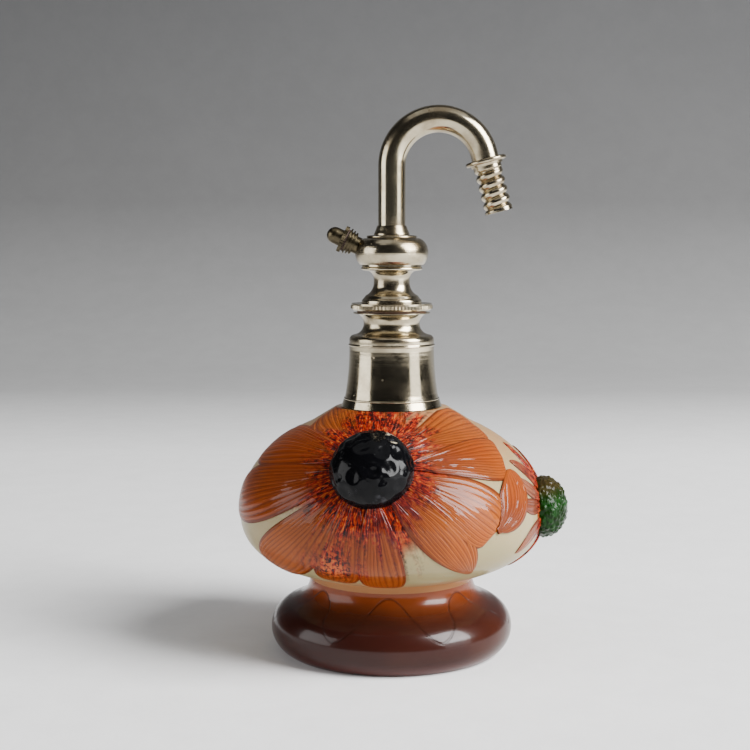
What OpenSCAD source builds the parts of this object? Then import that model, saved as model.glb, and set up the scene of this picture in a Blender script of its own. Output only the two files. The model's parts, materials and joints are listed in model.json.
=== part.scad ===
// Perfume atomiser: a footed blown-glass bottle with applied glass cabochons, and a nickel-plated
// brass mount that unscrews from the neck. A gooseneck carries the air in from a rubber hose, a dip
// tube lifts the perfume, and a small nozzle sprays it. Millimetres, +Z up, the origin on the table
// under the bottle's axis. +X is the side of the gooseneck, -Y is the front.

/* [Foot] */
// Height of the foot, up to the waist where the bottle stands on it
foot_h = 22.5; // [20:0.5:27]
// Radius of the waist between foot and bottle
waist_r = 25.3; // [22:0.1:28]
// Radius of the foot's rounded rim, in section
rim_r = 8.3; // [7.5:0.1:9]
// Distance of the rim section's centre from the axis
rim_centre_r = 29; // [27:0.5:34]
// Height of the rim section's centre above the table
rim_centre_z = 7.3; // [6.5:0.1:7.4]

/* [Bottle] */
// Widest radius of the bottle
body_r = 46.75; // [42:0.25:56]
// Depth of the bottle below its widest place
belly_h = 21.5; // [19:0.5:26]
// Fullness of the belly: 2 is an ellipse, more is squarer
belly_power = 2.5; // [2:0.1:3]
// Height that the shoulder's ellipse would have above the widest place
shoulder_h = 31.5; // [28:0.5:38]
// Radius where the shoulder turns into the cone under the collar
cone_r = 25; // [22:0.5:28]
// Rise of that cone
cone_rise = 4.6; // [3:0.1:6]
// Radius of the ledge that the collar stands over
seat_r = 17.4; // [16.5:0.1:19]
// Outside radius of the glass neck, hidden in the collar
neck_r = 11.2; // [9.5:0.1:11.6]
// Radius of the neck's bore
neck_bore_r = 6.6; // [6.5:0.1:8]
// Height of the neck above the ledge
neck_h = 18; // [16:0.5:22]
// Thickness of the glass wall
glass_wall = 4.2; // [3:0.1:6]
// Thickness of the bottle's floor over the waist
glass_floor = 6; // [4:0.5:9]

/* [Cabochons] */
// Turn of the front cabochon from the front, towards the gooseneck
front_turn = -8.4; // [-20:0.1:20]
// Height of the front cabochon's centre above the bottle's widest place
front_rise = 17.5; // [10:0.5:20]
// Radius of the front cabochon
front_r = 12; // [9:0.25:14]
// Turn of the side cabochon
side_turn = 82; // [70:1:95]
// Height of the side cabochon's centre above the bottle's widest place
side_rise = 1.5; // [-4:0.5:10]
// Radius of the side cabochon
side_r = 9.2; // [7:0.1:11]
// Turn of the rear cabochon
rear_turn = 200; // [170:1:220]
// Height of the rear cabochon's centre above the bottle's widest place
rear_rise = 9; // [0:0.5:16]
// Radius of the rear cabochon
rear_r = 9.5; // [7:0.1:12]
// Height of a cabochon's dome as a share of its radius
dome_share = 0.82; // [0.6:0.01:0.95]

/* [Collar] */
// Radius of the collar's top
collar_top_r = 13; // [12.4:0.1:14]
// Radius of the collar's skirt above its base band
collar_skirt_r = 14.35; // [13.8:0.05:15]
// Radius of the collar's lower edge
collar_base_r = 15.45; // [15:0.05:16.2]
// Height of the base band
band_h = 2.7; // [2:0.1:4]
// How far a bead stands out of the collar
bead = 0.3; // [0.2:0.05:0.5]
// Thickness of the spun sheet
collar_wall = 0.6; // [0.5:0.05:1]
// Thickness of the cork gasket on the glass lip
gasket_t = 1; // [0.8:0.1:2]
// Gap under the collar's lower edge, filled with plaster
collar_gap = 0.3; // [0.2:0.1:0.6]

/* [Throat] */
// Height of the throat piece
throat_h = 9.4; // [8:0.1:11]
// Radius of the throat's foot
throat_foot_r = 13; // [12.4:0.1:14]
// Smallest radius of the throat
throat_r = 8.6; // [8.3:0.1:9.6]
// Radius of the throat's lip
throat_lip_r = 11.75; // [11:0.05:12.5]

/* [Screw plug] */
// Radius of the knurled flange
flange_r = 12.55; // [12:0.05:15]
// Thickness of the knurled flange
flange_t = 2.1; // [1.6:0.1:3]
// Number of teeth in the knurl
knurl_teeth = 72; // [48:4:90]
// Depth of the knurl
knurl_depth = 0.22; // [0.1:0.02:0.4]
// Thickness of the leather washer under the flange
washer_t = 0.7; // [0.5:0.1:1.2]
// Pitch of the plug's thread
plug_pitch = 1.2; // [0.8:0.1:1.5]
// Crest radius of the plug's thread
plug_crest_r = 6.35; // [6:0.05:6.4]
// Radial depth of a thread
thread_depth = 0.42; // [0.3:0.02:0.5]
// Length of the plug's thread
plug_thread_h = 6; // [5:0.5:8]
// Outside radius of the threaded bush
bush_r = 7.8; // [7.5:0.05:8]
// Radius of the plug's spigot below the thread
spigot_r = 4.4; // [4:0.1:4.8]
// Length of the spigot
spigot_h = 12; // [9:0.5:14]
// Length of the cork sleeve on the spigot
cork_h = 9; // [6:0.5:9.5]

/* [Stem] */
// Height of the stem between flange and head
stem_h = 10.1; // [9:0.1:12]
// Radius of the stem's foot
stem_foot_r = 9.2; // [8.5:0.1:10]
// Smallest radius of the stem
stem_waist_r = 5.5; // [4.5:0.05:5.8]
// Radius of the stem's top
stem_top_r = 8.3; // [7.6:0.1:8.9]

/* [Head] */
// Radius of the head's base plate
plate_r = 9.4; // [9:0.1:10.2]
// Thickness of the head's base plate
plate_t = 1.7; // [1.3:0.1:2.5]
// Widest radius of the head
head_r = 11.2; // [10.6:0.1:12.5]
// Height of the head's shell
head_h = 8; // [7.5:0.1:9.5]
// Radius of the head's section, across
head_round = 3.8; // [3.4:0.1:4.4]
// Thickness of the head's shell
head_wall = 1; // [0.8:0.1:1.4]
// Radius of the head's top cap
cap_r = 7.7; // [7.2:0.1:8.4]
// Thickness of the head's top cap
cap_t = 0.8; // [0.6:0.1:1.2]

/* [Gooseneck] */
// Outside radius of the gooseneck's tube
goose_r = 4.15; // [3.8:0.05:4.8]
// Thickness of the tube
goose_wall = 0.8; // [0.6:0.05:1]
// Straight length of the tube above the head's cap
goose_rise = 21; // [15:0.5:28]
// Radius of the bend, on the tube's centre line
goose_bend = 14.2; // [12:0.1:17]
// Angle that the tube turns through
goose_angle = 165; // [150:1:175]
// Height of the conical ferrule at the tube's foot
ferrule_h = 3; // [2:0.1:4]
// Radius of the ferrule's foot
ferrule_r = 5.45; // [5.2:0.05:6]

/* [Hose spigot] */
// Length of the socket between the tube's end and the stop flange
socket_h = 1.6; // [1:0.1:4]
// Radius of the stop flange
stop_r = 6.3; // [5.5:0.1:7]
// Thickness of the stop flange
stop_t = 2.1; // [1.6:0.1:2.6]
// Crest radius of the ridges that hold the hose
barb_r = 4.3; // [3.9:0.05:4.6]
// Radial depth of the ridges
barb_depth = 0.8; // [0.5:0.05:0.9]
// Pitch of the spiral ridge
barb_pitch = 2.8; // [2:0.1:3.5]
// Length of the spigot below the stop flange
barb_h = 14.5; // [11:0.5:18]
// Length of the plain land at each end
land_h = 1; // [0.8:0.1:1.5]
// Radius of the air bore
air_bore_r = 1.6; // [1.2:0.1:2]

/* [Nozzle] */
// Angle of the nozzle above the horizontal
nozzle_tilt = 25; // [20:0.5:32]
// Height of the nozzle's axis, where it crosses the bottle's axis, above the head's base
nozzle_root = 2.5; // [2.2:0.1:3]
// Distance along the nozzle's axis to the inner end of the gland nut
gland_start = 12.3; // [12.1:0.1:13]
// Length of the stub's shank, from the gland nut into the head
stub_shank_h = 4.2; // [3.8:0.1:4.6]
// Length of the gland nut
gland_h = 2.8; // [2.4:0.1:4]
// Radius of the gland nut
gland_r = 4.1; // [3.6:0.1:4.6]
// Number of ridges on the gland nut
gland_ridges = 3; // [2:1:4]
// Thickness of the fibre washer behind the tip
tip_washer_t = 0.7; // [0.5:0.1:1.2]
// Radius of the tip's knurled flange
tip_flange_r = 4.15; // [3.6:0.05:4.8]
// Thickness of the tip's knurled flange
tip_flange_t = 1.1; // [0.8:0.1:1.6]
// Radius of the domed tip
tip_r = 2.6; // [2.5:0.05:3]
// Length of the domed tip beyond its flange
tip_h = 4.7; // [4.2:0.1:6]
// Pitch of the tip's thread
tip_pitch = 0.8; // [0.6:0.05:1]
// Crest radius of the thread that the tip screws on
stub_crest_r = 1.85; // [1.7:0.05:1.9]
// Radial depth of that thread
stub_depth = 0.25; // [0.15:0.01:0.3]
// How far the threaded stub reaches past the tip's knurled flange
stub_reach = 2.2; // [1.8:0.1:2.3]
// Radius of the bore along the threaded stub
stub_bore_r = 1.15; // [1.05:0.05:1.3]
// Radius of the spray orifice
orifice_r = 0.3; // [0.2:0.05:0.4]

/* [Liquid tubes] */
// Outside radius of the dip tube
dip_r = 2; // [1.6:0.1:2.2]
// Bore radius of the dip tube
dip_bore_r = 1.2; // [1.1:0.05:1.4]
// Length of the dip tube inside the plug's spigot
dip_grip = 5; // [4:0.5:8]
// Wall of the cork bush that holds the dip tube
dip_bush_wall = 1.2; // [1:0.1:1.3]
// Height of that bush above the dip tube's top
dip_bush_cap = 3; // [2:0.5:4]
// Gap between the dip tube and the bottle's floor
dip_gap = 2.5; // [1:0.5:6]
// Outside radius of the riser and the needle that lead to the nozzle
jet_r = 0.9; // [0.7:0.05:1]
// Bore radius of the riser and the needle
jet_bore_r = 0.45; // [0.3:0.05:0.5]
// Radius of the riser's elbow, on its centre line
jet_bend = 3; // [2.5:0.1:3.5]
// Width of the ring-shaped passage for air round the riser
air_passage = 1.2; // [1:0.1:1.4]

/* [Hidden] */
$fn = 96;

// Clearances: between pieces that slide or turn, and between thread crests and the bore they pass
slip = 0.1;
thread_slip = 0.12;
// Gap on each face of a washer between pieces that move apart
face_gap = 0.03;
// Gap of a soldered joint
solder = 0.02;
// Thickness of the head shell's floor and roof
floor_t = 0.8;
// Thickness of the tip over the end of the needle's bore
spray_wall = 1;
// How far a cutting shape runs past what it cuts
past = 0.5;
// How far a thread's end runs into the solid it grows from
root_in = 0.4;
// Facets round a thread, and rings along each of its turns
thread_sides = 24;
thread_rings = 6;
// Steps along a curve of an outline
curve_steps = 12;

// Heights, from the table up
z_equator = foot_h + belly_h;
z_cone = z_equator + ellipse_z(cone_r, body_r, shoulder_h);
z_seat = z_cone + cone_rise;
z_lip = z_seat + neck_h;
z_collar = z_seat + collar_gap;
z_plate = z_lip + gasket_t;
z_throat = z_plate + collar_wall;
z_washer = z_throat + throat_h;
z_flange = z_washer + washer_t;
z_stem = z_flange + flange_t;
z_head = z_stem + stem_h;
z_shell = z_head + plate_t;
z_cap = z_shell + head_h;
z_ferrule = z_cap + cap_t;
z_bend = z_ferrule + goose_rise;
z_thread = z_flange - plug_thread_h;
z_spigot = z_thread - spigot_h;
z_cavity = foot_h + glass_floor;

// Radii that follow from their neighbours
bush_minor_r = plug_crest_r + thread_slip;
bush_major_r = bush_minor_r + thread_depth;
stem_bore_r = jet_r + air_passage;
dip_bush_r = dip_r + dip_bush_wall;
cork_r = min(plug_crest_r, neck_bore_r) - slip;
goose_bore_r = goose_r - goose_wall;
goose_seat_r = goose_r + solder;
head_section_r = head_r - head_round;
stub_shank_r = stub_crest_r + 0.85;
packing_r = stub_shank_r + 0.05;
tip_major_r = stub_crest_r + thread_slip + stub_depth;

// Places along the nozzle's axis, from where it crosses the bottle's axis
nozzle_z = z_head + nozzle_root;
gland_end = gland_start + gland_h;
tip_start = gland_end + tip_washer_t;
tip_face = tip_start + tip_flange_t;
tip_end = tip_face + tip_h;
stub_start = gland_start - stub_shank_h;
stub_end = tip_face + stub_reach;
jet_end = tip_end - spray_wall - 0.4;

// Places of the tubes
dip_bottom = z_cavity + dip_gap;
dip_top = z_spigot + dip_grip;
bush_top = dip_top + dip_bush_cap;
jet_turn = 90 - nozzle_tilt;
jet_start = jet_bend * tan(jet_turn / 2);
jet_foot_z = nozzle_z - jet_start;
z_goose_foot = z_cap - 2 * floor_t;

function ellipse_z(r, a, b) = b * sqrt(max(0, 1 - pow(r / a, 2)));
function ellipse_r(z, a, b) = a * sqrt(max(0, 1 - pow(z / b, 2)));

// Points of a circular arc in the outline's plane, from one angle to another
function arc(centre, r, from, to, steps = curve_steps) =
    [for (i = [0:steps]) let (t = from + (to - from) * i / steps) centre + r * [cos(t), sin(t)]];

// The belly's curve, |r/a|^p + |z/b|^p = 1, from radius start_r out to the widest place
function belly(a, b, p, start_r) =
    let (start = asin(pow(start_r / a, p / 2)))
    [for (i = [0:curve_steps]) let (t = start + (90 - start) * i / curve_steps)
        [a * pow(sin(t), 2 / p), z_equator - b * pow(cos(t), 2 / p)]];

// The shoulder's ellipse, from the widest place in to radius end_r
function shoulder(a, b, end_r) =
    let (end = acos(end_r / a))
    [for (i = [1:curve_steps]) let (t = end * i / curve_steps) [a * cos(t), z_equator + b * sin(t)]];

// Direction that the bottle's surface faces at a height above its widest place
function surface_tilt(rise) =
    atan2(rise / pow(shoulder_h, 2), ellipse_r(rise, body_r, shoulder_h) / pow(body_r, 2));

// Outline of the collar's skirt at a share t of its height: a flare that steepens to the top
function skirt_r(t) = collar_top_r + (collar_skirt_r - collar_top_r) * pow(1 - t, 2);
function skirt(inset, steps = curve_steps) =
    let (low = z_collar + band_h, high = z_plate)
    [for (i = [0:steps]) [skirt_r(i / steps) - inset, low + (high - low) * i / steps]];

// A solid turned about the axis from its outline in the half plane [radius, height]
module turned(points) {
    rotate_extrude() polygon(points);
}

module ring(outer, inner, h, z = 0) {
    translate([0, 0, z]) difference() {
        cylinder(r = outer, h = h);
        translate([0, 0, -past]) cylinder(r = inner, h = h + 2 * past);
    }
}

// A solid screw of length h whose round ridge fades in and out over its first and last half turn
module screw(crest_r, depth, pitch, h) {
    rings = ceil(h / pitch * thread_rings);
    function fade(z) = min(1, 2 * z / pitch, 2 * (h - z) / pitch);
    function ridge(z, a) = crest_r - depth + depth * fade(z) * (1 + cos(360 * z / pitch - a)) / 2;
    wall = [for (i = [0:rings], j = [0:thread_sides - 1])
        let (z = h * i / rings, a = 360 * j / thread_sides, r = ridge(z, a)) [r * cos(a), r * sin(a), z]];
    n = len(wall);
    sides = [for (i = [0:rings - 1], j = [0:thread_sides - 1])
        let (k = i * thread_sides, next = (j + 1) % thread_sides)
        each [[k + j, k + thread_sides + j, k + thread_sides + next], [k + j, k + thread_sides + next, k + next]]];
    ends = [for (j = [0:thread_sides - 1])
        let (next = (j + 1) % thread_sides, top = rings * thread_sides)
        each [[n, j, next], [n + 1, top + next, top + j]]];
    polyhedron(points = concat(wall, [[0, 0, 0], [0, 0, h]]), faces = concat(sides, ends), convexity = 6);
}

// A disc with a toothed rim
module knurled(r, depth, teeth, h) {
    linear_extrude(h) polygon([for (i = [0:2 * teeth - 1])
        let (a = 180 * i / teeth, edge = i % 2 == 0 ? r : r - depth) edge * [cos(a), sin(a)]]);
}

// Puts its children on the nozzle's axis, with +Z along it, at a distance from the bottle's axis
module on_nozzle(along = 0) {
    translate([0, 0, nozzle_z]) rotate([0, nozzle_tilt - 90, 0]) translate([0, 0, along]) children();
}

// Puts its children at the end of the gooseneck's bend, with +Z running on along the tube
module on_tail(along = 0) {
    translate([goose_bend, 0, z_bend]) rotate([0, goose_angle, 0]) translate([-goose_bend, 0, along])
        children();
}

module foot() {
    groove_r = 6.4;
    rest_angle = -asin(rim_centre_z / rim_r);
    groove_z = foot_h - 0.4;
    rim_top = arc([rim_centre_r, rim_centre_z], rim_r, rest_angle, 74);
    groove = arc([waist_r + groove_r, groove_z], groove_r, 248, 180);
    color("#3a1712") turned(concat([[0, 0]], rim_top, groove, [[waist_r, foot_h], [0, foot_h]]));
}

// The outside of the bottle, as one solid
module bottle_outside() {
    turned(concat([[0, foot_h], [waist_r, foot_h]],
        belly(body_r, belly_h, belly_power, waist_r + 0.8), shoulder(body_r, shoulder_h, cone_r),
        [[seat_r, z_seat], [neck_r, z_seat], [neck_r, z_lip], [0, z_lip]]));
}

module bottle_body() {
    inner_r = body_r - glass_wall;
    inner_top = shoulder_h - glass_wall;
    inner_low = z_equator - z_cavity;
    color("#c9a06a") difference() {
        bottle_outside();
        turned(concat([[0, z_cavity]], belly(inner_r, inner_low, belly_power, 1),
            shoulder(inner_r, inner_top, neck_bore_r), [[neck_bore_r, z_lip + past], [0, z_lip + past]]));
    }
}

// A dome of hot glass set on the bottle's surface
module cabochon(turn, rise, r) {
    surface_r = rise > 0 ? ellipse_r(rise, body_r, shoulder_h) : ellipse_r(rise, body_r, belly_h);
    dome = r * dome_share;
    ball_r = (r * r + dome * dome) / (2 * dome);
    difference() {
        rotate([0, 0, turn - 90]) translate([surface_r, 0, z_equator + rise])
            rotate([0, 90 - surface_tilt(rise), 0]) union() {
                intersection() {
                    translate([0, 0, dome - ball_r]) sphere(r = ball_r);
                    cylinder(r = r, h = dome + past);
                }
                translate([0, 0, -3]) cylinder(r = r, h = 3);
            }
        bottle_outside();
    }
}

module front_cabochon() {
    color("#101010") cabochon(front_turn, front_rise, front_r);
}

module side_cabochon() {
    color("#1f4a16") cabochon(side_turn, side_rise, side_r);
}

module rear_cabochon() {
    color("#141012") cabochon(rear_turn, rear_rise, rear_r);
}

module neck_plaster() {
    inside = skirt(collar_wall);
    color("#d8d2c4") turned(concat([[neck_r, z_seat], [inside[0][0], z_seat]],
        [for (p = inside) [p[0], min(p[1], z_lip)]], [[neck_r, z_lip]]));
}

module neck_gasket() {
    color("#9b6b3d") ring(neck_r, neck_bore_r, gasket_t, z_lip);
}

// The spun skirt: a flared band, a bead, the skirt proper, a second bead and a top plate with a hole
module collar() {
    low = z_collar + band_h;
    plate_hole = bush_r + 0.6;
    band_top = collar_skirt_r + bead;
    color("#b9b6ae") turned(concat(
        [[collar_base_r, z_collar], [band_top + 0.1, low - 0.6]],
        arc([collar_skirt_r, low - 0.3], bead + 0.05, -60, 80, 6),
        [for (p = skirt(0)) if (p[1] > low + 0.1 && p[1] < z_plate - 0.4) p],
        arc([collar_top_r, z_plate + 0.1], bead, -80, 80, 6),
        [[collar_top_r, z_throat], [plate_hole, z_throat], [plate_hole, z_plate]],
        [for (i = [len(skirt(0)) - 1:-1:0]) skirt(collar_wall)[i]],
        [[collar_skirt_r - collar_wall, z_collar]]));
}

// The turned throat: a rounded foot, a deep groove and a lip, bored for the threaded bush
module throat() {
    corner = 1.6;
    groove_r = (throat_h - 2.6) / 2;
    groove_z = z_washer - groove_r;
    low_r = throat_r + groove_r;
    wall = 0.9;
    color("#aeaaa0") turned(concat(
        [[bush_r, z_washer], [throat_lip_r, z_washer], [throat_lip_r, z_washer - 0.25]],
        arc([low_r, groove_z], groove_r, 100, 250),
        arc([throat_foot_r - corner, z_throat + 1], corner, 62, 0, 6),
        [[throat_foot_r, z_throat], [throat_foot_r - wall, z_throat]],
        arc([throat_foot_r - corner, z_throat + 1], corner - wall, 0, 62, 6),
        [[bush_r, z_throat + 3]]));
}

module threaded_bush() {
    h = z_washer - z_plate;
    color("#b5923f") difference() {
        translate([0, 0, z_plate]) cylinder(r = bush_r, h = h);
        translate([0, 0, z_plate - plug_pitch])
            screw(bush_major_r, thread_depth, plug_pitch, h + 2 * plug_pitch);
    }
}

module neck_cork() {
    color("#b98a55") ring(cork_r, spigot_r + slip, cork_h, z_spigot + (spigot_h - cork_h) / 2);
}

module flange_washer() {
    color("#5b3a22") ring(throat_lip_r - 1.2, plug_crest_r + slip, washer_t - 2 * face_gap, z_washer + face_gap);
}

// Knurled flange, threaded barrel and spigot, turned in one piece and bored through
module screw_plug() {
    rim = 0.55;
    color("#b4b1a8") difference() {
        union() {
            translate([0, 0, z_flange + rim]) knurled(flange_r, knurl_depth, knurl_teeth, flange_t - 2 * rim);
            translate([0, 0, z_flange]) cylinder(r1 = throat_lip_r, r2 = flange_r - knurl_depth, h = rim);
            translate([0, 0, z_stem - rim]) cylinder(r = flange_r - knurl_depth, h = rim);
            translate([0, 0, z_thread]) screw(plug_crest_r, thread_depth, plug_pitch, plug_thread_h + root_in);
            translate([0, 0, z_spigot]) cylinder(r = spigot_r, h = spigot_h + root_in);
        }
        translate([0, 0, z_spigot - past]) cylinder(r = stem_bore_r, h = z_stem - z_spigot + 2 * past);
        translate([0, 0, z_spigot - past]) cylinder(r = dip_bush_r, h = bush_top - z_spigot + past);
    }
}

// A baluster turned from rod: a rounded foot, a waist and a trumpet under the head
module stem() {
    low_r = 4.35;
    high_r = stem_top_r - stem_waist_r;
    low_z = z_head - high_r - 1;
    color("#a9a596") turned(concat(
        [[stem_bore_r, z_stem], [stem_foot_r, z_stem]],
        arc([stem_foot_r - 1.1, z_stem + 0.5], 1.1, 0, 58, 5),
        arc([stem_waist_r + low_r, low_z], low_r, 244, 180),
        arc([stem_top_r, z_head - high_r], high_r, 180, 90),
        [[stem_bore_r, z_head]]));
}

module head_base() {
    color("#b8b5ad") turned(concat(
        [[stem_bore_r, z_head], [plate_r - 0.5, z_head]],
        arc([plate_r - 0.5, z_head + 0.5], 0.5, -90, 90, 6),
        [[plate_r - 0.3, z_head + 1.15], [plate_r - 0.3, z_shell], [stem_bore_r, z_shell]]));
}

// Half width of the head at a height above its base plate
function head_outside(z, inset) =
    head_section_r + (head_round - inset) * sqrt(max(0, 1 - pow((z - head_h / 2 + 0.4) / (4.6 - inset), 2)));

module head_shell() {
    steps = 16;
    color("#bdbab3") difference() {
        turned(concat([[0, z_shell]],
            [for (i = [0:steps]) let (z = head_h * i / steps) [head_outside(z, 0), z_shell + z]],
            [[0, z_cap]]));
        turned(concat([[0, z_shell + floor_t]],
            [for (i = [0:steps]) let (z = floor_t + (head_h - 2 * floor_t) * i / steps)
                [head_outside(z, head_wall), z_shell + z]],
            [[0, z_cap - floor_t]]));
        translate([0, 0, z_shell - past]) cylinder(r = stem_bore_r + air_passage, h = floor_t + 2 * past);
        translate([0, 0, z_cap - floor_t - past]) cylinder(r = goose_seat_r, h = floor_t + 2 * past);
        on_nozzle(stub_start) cylinder(r = packing_r, h = stub_shank_h + 4);
    }
}

module head_cap() {
    color("#bdbab3") turned(concat(
        [[goose_seat_r, z_cap], [cap_r - cap_t / 2, z_cap]],
        arc([cap_r - cap_t / 2, z_cap + cap_t / 2], cap_t / 2, -90, 90, 6),
        [[goose_seat_r, z_ferrule]]));
}

module ferrule() {
    color("#aeaa9d") turned([[goose_seat_r, z_ferrule], [ferrule_r, z_ferrule],
        [ferrule_r, z_ferrule + 0.5], [ferrule_r - 0.45, z_ferrule + ferrule_h / 2],
        [goose_r + 0.3, z_ferrule + ferrule_h], [goose_seat_r, z_ferrule + ferrule_h]]);
}

// A bent tube that stands on the origin: a straight foot below it, and a bend that leans to +X
module bent_tube(outer, inner, straight, bend, angle) {
    translate([0, 0, -straight]) linear_extrude(straight) wall(outer, inner);
    translate([bend, 0, 0]) mirror([1, 0, 0]) rotate([90, 0, 0])
        rotate_extrude(angle = angle) translate([bend, 0]) wall(outer, inner);
}

// The section of a tube
module wall(outer, inner) {
    difference() {
        circle(r = outer);
        circle(r = inner);
    }
}

module gooseneck() {
    color("#c4c1b9") translate([0, 0, z_bend])
        bent_tube(goose_r, goose_bore_r, z_bend - z_goose_foot, goose_bend, goose_angle);
}

// The short socket and the stepped flange that stop the hose, turned in one piece
module hose_stop() {
    edge = 0.7;
    top = socket_h + stop_t;
    step_z = socket_h + 2 * edge;
    step_r = barb_r + 0.7;
    color("#bab6aa") on_tail() turned(concat(
        [[goose_bore_r, 0], [goose_r, 0], [goose_r, socket_h]],
        arc([stop_r - edge, socket_h + edge], edge, -90, 90, 8),
        [[step_r, step_z], [step_r - 0.2, top], [goose_bore_r, top]]));
}

// The spigot for the rubber hose: a shank soldered in the tube, two lands and a spiral ridge
module hose_spigot() {
    shank_h = socket_h + stop_t;
    root_r = barb_r - barb_depth;
    color("#b7b196") on_tail() difference() {
        union() {
            cylinder(r = goose_bore_r, h = shank_h);
            translate([0, 0, shank_h]) cylinder(r = barb_r, h = land_h);
            translate([0, 0, shank_h + land_h - root_in])
                screw(barb_r - 0.05, barb_depth, barb_pitch, barb_h - 2 * land_h + 2 * root_in);
            translate([0, 0, shank_h + barb_h - land_h]) cylinder(r = barb_r, h = land_h - 0.3);
            translate([0, 0, shank_h + barb_h - 0.3]) cylinder(r1 = barb_r, r2 = root_r, h = 0.3);
        }
        translate([0, 0, -past]) cylinder(r = air_bore_r, h = shank_h + barb_h + 2 * past);
    }
}

module nozzle_stub() {
    thread_h = stub_end - gland_end;
    color("#8d815c") on_nozzle() difference() {
        union() {
            translate([0, 0, stub_start]) cylinder(r = stub_shank_r, h = stub_shank_h + 0.3);
            translate([0, 0, gland_start]) cylinder(r = stub_crest_r, h = gland_h);
            translate([0, 0, gland_end - root_in]) screw(stub_crest_r, stub_depth, tip_pitch, thread_h + root_in);
        }
        translate([0, 0, stub_start - past]) cylinder(r = stub_bore_r, h = stub_end - stub_start + 2 * past);
    }
}

module gland_nut() {
    groove = gland_h / (2 * gland_ridges);
    depth = 0.9;
    color("#6f6648") on_nozzle() difference() {
        union() {
            translate([0, 0, gland_start + 0.3]) cylinder(r = gland_r - depth, h = gland_h - 0.3);
            for (i = [0:gland_ridges - 1])
                translate([0, 0, gland_end - groove * (2 * i + 1)]) cylinder(r = gland_r - 0.25 * i, h = groove);
        }
        cylinder(r = stub_crest_r, h = gland_end + past);
        translate([0, 0, gland_start - past]) cylinder(r = packing_r, h = 1.4 + past);
    }
}

module gland_packing() {
    color("#4a3826") on_nozzle(gland_start + 0.3) ring(stub_shank_r, stub_crest_r, 1.1);
}

module dip_tube() {
    color("#cfd6d2") ring(dip_r, dip_bore_r, dip_top - dip_bottom, dip_bottom);
}

module dip_tube_bush() {
    color("#c39a63") difference() {
        translate([0, 0, z_spigot]) cylinder(r = dip_bush_r, h = bush_top - z_spigot);
        translate([0, 0, z_spigot - past]) cylinder(r = dip_r, h = dip_top - z_spigot + past);
        cylinder(r = jet_r, h = bush_top + past);
    }
}

// The fine tube that carries perfume up the stem and round an elbow
module riser_tube() {
    color("#a88f4a") translate([0, 0, jet_foot_z]) mirror([1, 0, 0])
        bent_tube(jet_r, jet_bore_r, jet_foot_z - dip_top, jet_bend, jet_turn);
}

// The straight needle that carries it on, out along the nozzle
module jet_needle() {
    color("#a88f4a") on_nozzle() ring(jet_r, jet_bore_r, jet_end - jet_start, jet_start);
}

module tip_washer() {
    color("#7b2d1e") on_nozzle(gland_end + face_gap)
        ring(tip_flange_r - 0.7, stub_crest_r + slip, tip_washer_t - 2 * face_gap);
}

// The spray tip: a knurled flange and a domed cap with a fine orifice, threaded inside
module nozzle_tip() {
    dome_r = tip_r;
    thread_end = stub_end + 0.4;
    color("#6d6547") on_nozzle() difference() {
        union() {
            translate([0, 0, tip_start]) knurled(tip_flange_r, 0.15, 36, tip_flange_t);
            translate([0, 0, tip_face - 0.2]) cylinder(r = tip_r, h = tip_h - dome_r + 0.2);
            translate([0, 0, tip_end - dome_r]) sphere(r = dome_r);
        }
        translate([0, 0, tip_start - tip_pitch])
            screw(tip_major_r, stub_depth, tip_pitch, thread_end - tip_start + tip_pitch);
        cylinder(r = jet_r + 0.15, h = tip_end - spray_wall);
        cylinder(r = orifice_r, h = tip_end + past);
        translate([-tip_r, -0.2, tip_end - 0.35]) cube([2 * tip_r, 0.4, 1]);
    }
}

foot();
bottle_body();
front_cabochon();
side_cabochon();
rear_cabochon();
neck_plaster();
neck_gasket();
collar();
throat();
threaded_bush();
neck_cork();
flange_washer();
screw_plug();
stem();
head_base();
head_shell();
head_cap();
ferrule();
gooseneck();
hose_stop();
hose_spigot();
nozzle_stub();
gland_nut();
gland_packing();
dip_tube();
dip_tube_bush();
riser_tube();
jet_needle();
tip_washer();
nozzle_tip();
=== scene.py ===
"""Perfume atomiser: a footed art-glass bottle with glass blossoms, under a plated brass sprayer.

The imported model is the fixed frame. Its turned pieces are drawn again as smooth surfaces worked out
from their own corners, the glass gets carved petals and moulded cabochons, and every piece gets a
procedural finish. Lengths are metres; the axis of the bottle is +Z and its front is -Y.
"""

import json
import math

import bpy
import numpy as np
from bpy.props import FloatProperty, FloatVectorProperty, IntProperty, PointerProperty
from mathutils import Matrix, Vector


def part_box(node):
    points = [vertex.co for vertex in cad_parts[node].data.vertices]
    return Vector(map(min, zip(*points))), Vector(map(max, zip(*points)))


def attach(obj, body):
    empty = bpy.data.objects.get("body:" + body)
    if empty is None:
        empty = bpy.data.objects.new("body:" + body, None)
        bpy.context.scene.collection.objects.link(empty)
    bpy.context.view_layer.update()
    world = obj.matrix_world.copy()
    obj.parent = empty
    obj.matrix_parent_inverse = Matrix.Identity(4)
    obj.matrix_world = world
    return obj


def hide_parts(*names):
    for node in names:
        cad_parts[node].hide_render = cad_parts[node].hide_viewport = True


bl_info = {
    "name": "Perfume Atomiser",
    "version": (1, 0, 0),
    "blender": (4, 5, 0),
    "location": "View3D > Sidebar > Atomiser",
    "description": "Draws the glass, the plated fittings and the studio round a packed atomiser",
    "category": "Object",
}

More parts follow.
